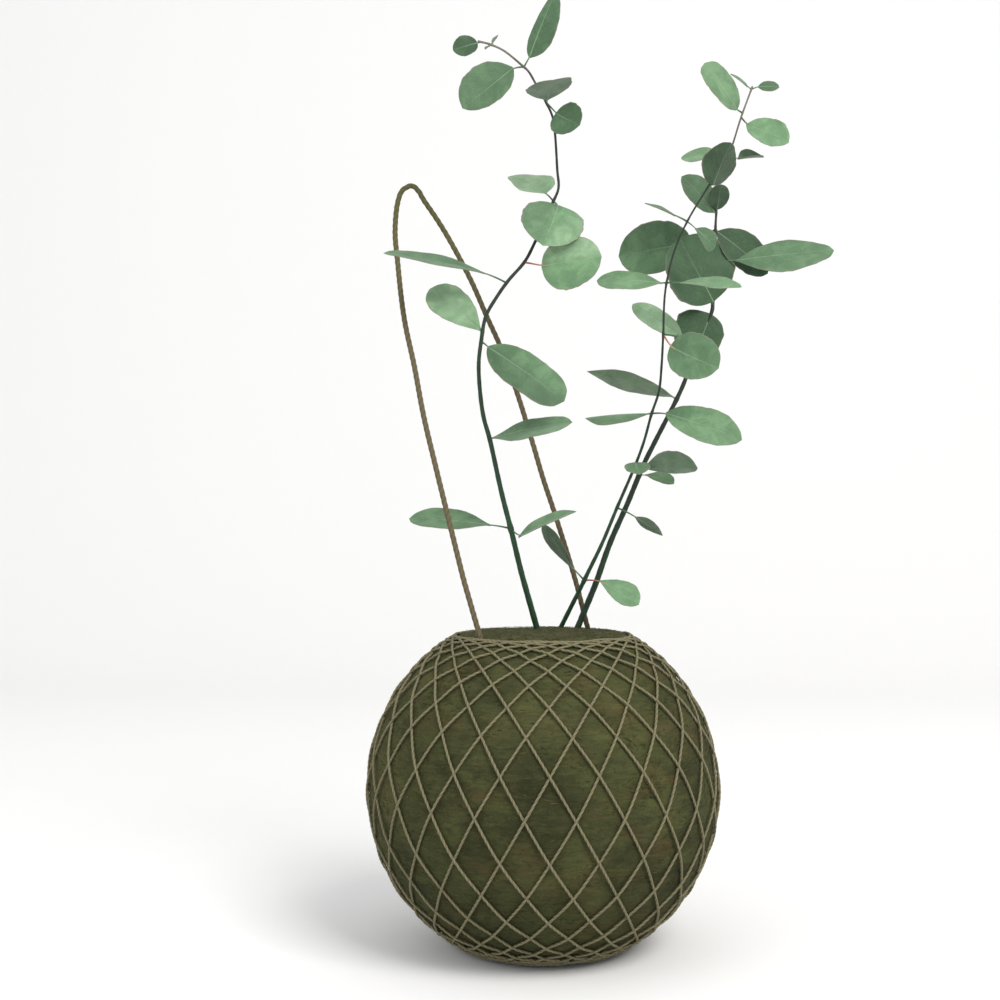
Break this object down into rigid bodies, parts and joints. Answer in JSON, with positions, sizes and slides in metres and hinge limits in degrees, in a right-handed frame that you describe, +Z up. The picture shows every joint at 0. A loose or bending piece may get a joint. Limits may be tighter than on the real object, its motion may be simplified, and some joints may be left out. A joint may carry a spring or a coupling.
{
  "type": "kokedama moss ball plant",
  "caption": "Round ball of soil wrapped in moss and netted with twine, with leafy stems rising from its flat top beside a stiff hanging loop.",
  "frame": {"origin": "centre of the small flat moss spot that the ball rests on", "axes": "+Z up through the ball and the leafy stems, -Y towards the front of the plant, +X to its right seen from the front"},
  "size_m": [0.205, 0.1506, 0.4121],
  "materials": {
    "moss": "matte, fibrous",
    "soil": "matte, crumbly",
    "twine": "matte, twisted fibre",
    "loop_cord": "matte, twisted fibre",
    "sage_leaf": "matte, waxy",
    "light_leaf": "matte, waxy",
    "dark_leaf": "matte, waxy"
  },
  "bodies": {
    "root": {"moss_mat": "moss", "soil_core": "soil", "twine_net": "twine", "hanging_loop": "loop_cord", "leafy_stem_left": "sage_leaf", "leafy_stem_middle": "light_leaf", "leafy_stem_right": "dark_leaf"}
  },
  "joints": []
}
